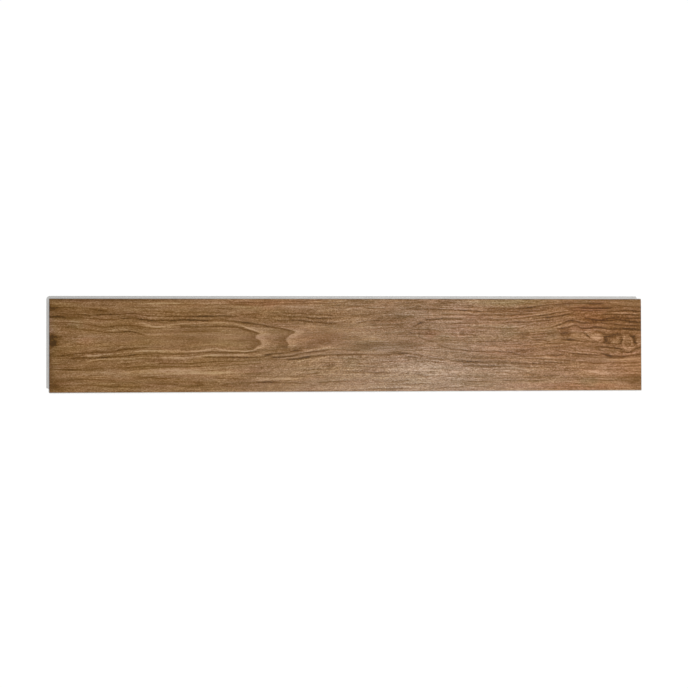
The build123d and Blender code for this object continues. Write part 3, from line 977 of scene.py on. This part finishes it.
def draw_figure(obj):
    """Draws the print on the mesh: its lines, marks, tints and grain run, and painted shade at the top and
    left edges.
    """
    mesh = obj.data
    places = np.empty(3 * len(mesh.vertices))
    mesh.vertices.foreach_get("co", places)
    points = on_photo(places.reshape(-1, 3)[:, :2])
    noise.seed_set(DRAWING_SEED)
    rough = ragged(points, MARK_SHIFT)
    fine = ragged(points, LINE_SHIFT)
    come_and_go = np.array([noise.noise(place) for place in in_noise(points, BREAK_WAVES)])
    lines = LINE_STRENGTH * draw_lines(fine) * (LINE_MEAN + LINE_BREAK * come_and_go)
    marks = daub(rough, MARKS_AND_EDGE_SHADE) + draw_flames(fine)
    figure = np.column_stack((lines + draw_arcs(fine), marks, daub(rough, TINTS_AND_EDGE_SHADE)))
    run = np.column_stack((grain_level(points), 1 + daub(rough, BUSY), daub(rough, GREYS_AND_EDGE_SHADE)))
    for name, values in ((FIGURE, figure), (RUN, run)):
        attribute = mesh.attributes.new(name, "FLOAT_VECTOR", "POINT")
        attribute.data.foreach_set("vector", values.ravel())


def press_grain(obj, settings):
    """Presses the print's lines into the face with a node modifier, and applies it."""
    tree = bpy.data.node_groups.new("pressed_grain", "GeometryNodeTree")
    tree.interface.new_socket("Geometry", in_out="INPUT", socket_type="NodeSocketGeometry")
    tree.interface.new_socket("Geometry", in_out="OUTPUT", socket_type="NodeSocketGeometry")
    bench = NodeBench(tree)
    entry = tree.nodes.new("NodeGroupInput")
    place = tree.nodes.new("GeometryNodeInputPosition").outputs[0]
    figure = bench.add("GeometryNodeInputNamedAttribute", FIGURE, data_type="FLOAT_VECTOR").outputs[0]
    run = bench.add("GeometryNodeInputNamedAttribute", RUN, data_type="FLOAT_VECTOR").outputs[0]
    _, _, _, pressed = wood_tone(bench, place, figure, run)
    z = bench.split(place)[2]
    inside = bench.ramp(from_edge(bench, place), settings.bevel, PRESSED_RIM)
    on_top = bench.ramp(z, face_high.z - settings.bevel, face_high.z - settings.bevel / 2)
    drop = bench.times(pressed, inside, on_top, -settings.relief)
    move = tree.nodes.new("GeometryNodeSetPosition")
    bench.feed(move.inputs["Geometry"], entry.outputs[0])
    bench.feed(move.inputs["Offset"], bench.pack(0.0, 0.0, drop))
    leave = tree.nodes.new("NodeGroupOutput")
    bench.feed(leave.inputs[0], move.outputs[0])
    modifier = obj.modifiers.new("Pressed grain", "NODES")
    modifier.node_group = tree
    bpy.ops.object.modifier_apply(modifier=modifier.name)
    bpy.data.node_groups.remove(tree)


class PLANK_OT_core_board(bpy.types.Operator):
    """Gives the core board its stone plastic finish"""

    bl_idname = "plank.core_board"
    bl_label = "Finish core board"

    def execute(self, context):
        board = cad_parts["stone_plastic_core"]
        board.data.materials.clear()
        board.data.materials.append(stone_plastic_material(context.scene.plank_core))
        return {"FINISHED"}


class PLANK_OT_face_layer(bpy.types.Operator):
    """Models the printed face layer with its eased edges and pressed grain"""

    bl_idname = "plank.face_layer"
    bl_label = "Model face layer"

    def execute(self, context):
        settings = context.scene.plank_face
        face = self.model_layer(context, settings)
        only(face)
        draw_figure(face)
        press_grain(face, settings)
        bpy.ops.object.shade_smooth_by_angle(angle=SMOOTH_ANGLE)
        face.data.materials.append(wood_print_material(settings))
        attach(face, "root")
        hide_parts("printed_wear_layer")
        return {"FINISHED"}

    def model_layer(self, context, settings):
        """A grid for the top, with its rim drawn out to the eased edge, down the sides and shut below."""
        size = face_high - face_low
        middle = (face_high + face_low) / 2
        flat_length = size.x - 2 * settings.bevel
        flat_width = size.y - 2 * settings.bevel
        bpy.ops.object.select_all(action="DESELECT")
        bpy.ops.mesh.primitive_grid_add(
            x_subdivisions=settings.columns, y_subdivisions=settings.rows, size=1,
            location=(middle.x, middle.y, face_high.z))
        face = context.active_object
        face.name = FACE_PIECE
        face.data.name = FACE_PIECE
        face.scale = (flat_length, flat_width, 1)
        bpy.ops.object.transform_apply(location=True, rotation=True, scale=True)
        bpy.ops.object.mode_set(mode="EDIT")
        bpy.ops.mesh.select_mode(type="EDGE")
        bpy.ops.mesh.select_all(action="SELECT")
        bpy.ops.mesh.region_to_loop()
        bpy.ops.mesh.extrude_edges_move(
            TRANSFORM_OT_translate={"value": (0, 0, -settings.bevel)})
        bpy.ops.transform.resize(
            value=(size.x / flat_length, size.y / flat_width, 1),
            center_override=(middle.x, middle.y, face_high.z))
        bpy.ops.mesh.extrude_edges_move(
            TRANSFORM_OT_translate={"value": (0, 0, settings.bevel - size.z)})
        bpy.ops.mesh.extrude_edges_move()
        bpy.ops.mesh.merge(type="CENTER")
        bpy.ops.mesh.select_all(action="SELECT")
        bpy.ops.mesh.normals_make_consistent(inside=False)
        bpy.ops.object.mode_set(mode="OBJECT")
        return face


class PLANK_OT_studio(bpy.types.Operator):
    """Sets out the floor, the lamp, the room light and the camera"""

    bl_idname = "plank.studio"
    bl_label = "Set up studio"

    def execute(self, context):
        settings = context.scene.plank_studio
        self.lay_floor(context, settings)
        self.light_room(context, settings)
        self.hang_softbox(context, settings)
        self.hang_camera(context, settings)
        context.scene.view_settings.view_transform = "Standard"
        return {"FINISHED"}

    def lay_floor(self, context, settings):
        bpy.ops.object.select_all(action="DESELECT")
        bpy.ops.mesh.primitive_plane_add(size=settings.floor_size, location=(0, 0, 0))
        floor = context.active_object
        floor.name = "studio_floor"
        floor.data.materials.append(studio_floor_material(settings))

    def light_room(self, context, settings):
        world = bpy.data.worlds.new("studio_room")
        world.use_nodes = True
        bench = NodeBench(world.node_tree)
        backdrop = world.node_tree.nodes["Background"]
        backdrop.inputs["Color"].default_value = WHITE
        level = bench.ramp(bench.seen(), 0, 1, settings.sky_level, 1, shape="LINEAR")
        bench.feed(backdrop.inputs["Strength"], level)
        context.scene.world = world

    def hang_softbox(self, context, settings):
        place = Vector(settings.overhead_place)
        aim = Vector(settings.overhead_aim)
        bpy.ops.object.light_add(type="AREA", location=place)
        lamp = context.active_object
        lamp.name = "overhead_softbox"
        lamp.data.shape = "RECTANGLE"
        lamp.data.size, lamp.data.size_y = settings.overhead_size
        lamp.data.energy = settings.overhead_power
        lamp.visible_camera = False
        lamp.rotation_euler = (aim - place).to_track_quat("-Z", "Y").to_euler()

    def hang_camera(self, context, settings):
        bpy.ops.object.camera_add(location=settings.camera_place, rotation=settings.camera_turn)
        camera = context.active_object
        camera.name = "photo_camera"
        camera.data.lens = settings.lens
        camera.data.sensor_width = SENSOR_WIDTH
        context.scene.camera = camera


class PLANK_PT_sidebar(bpy.types.Panel):
    """Lists the plank's steps and settings"""

    bl_label = "Stone plastic plank"
    bl_idname = "PLANK_PT_sidebar"
    bl_space_type = "VIEW_3D"
    bl_region_type = "UI"
    bl_category = "Plank"

    def draw(self, context):
        scene = context.scene
        steps = (
            (PLANK_OT_core_board, scene.plank_core),
            (PLANK_OT_face_layer, scene.plank_face),
            (PLANK_OT_studio, scene.plank_studio),
        )
        for step, settings in steps:
            box = self.layout.box()
            box.operator(step.bl_idname)
            for name in settings.__annotations__:
                box.prop(settings, name)


CLASSES = (
    PlankFaceSettings,
    PlankCoreSettings,
    PlankStudioSettings,
    PLANK_OT_core_board,
    PLANK_OT_face_layer,
    PLANK_OT_studio,
    PLANK_PT_sidebar,
)


def register():
    for cls in CLASSES:
        bpy.utils.register_class(cls)
    bpy.types.Scene.plank_face = PointerProperty(type=PlankFaceSettings)
    bpy.types.Scene.plank_core = PointerProperty(type=PlankCoreSettings)
    bpy.types.Scene.plank_studio = PointerProperty(type=PlankStudioSettings)


def unregister():
    del bpy.types.Scene.plank_face
    del bpy.types.Scene.plank_core
    del bpy.types.Scene.plank_studio
    for cls in reversed(CLASSES):
        bpy.utils.unregister_class(cls)


def main():
    register()
    bpy.ops.plank.core_board()
    bpy.ops.plank.face_layer()
    bpy.ops.plank.studio()


if __name__ == "__main__":
    main()
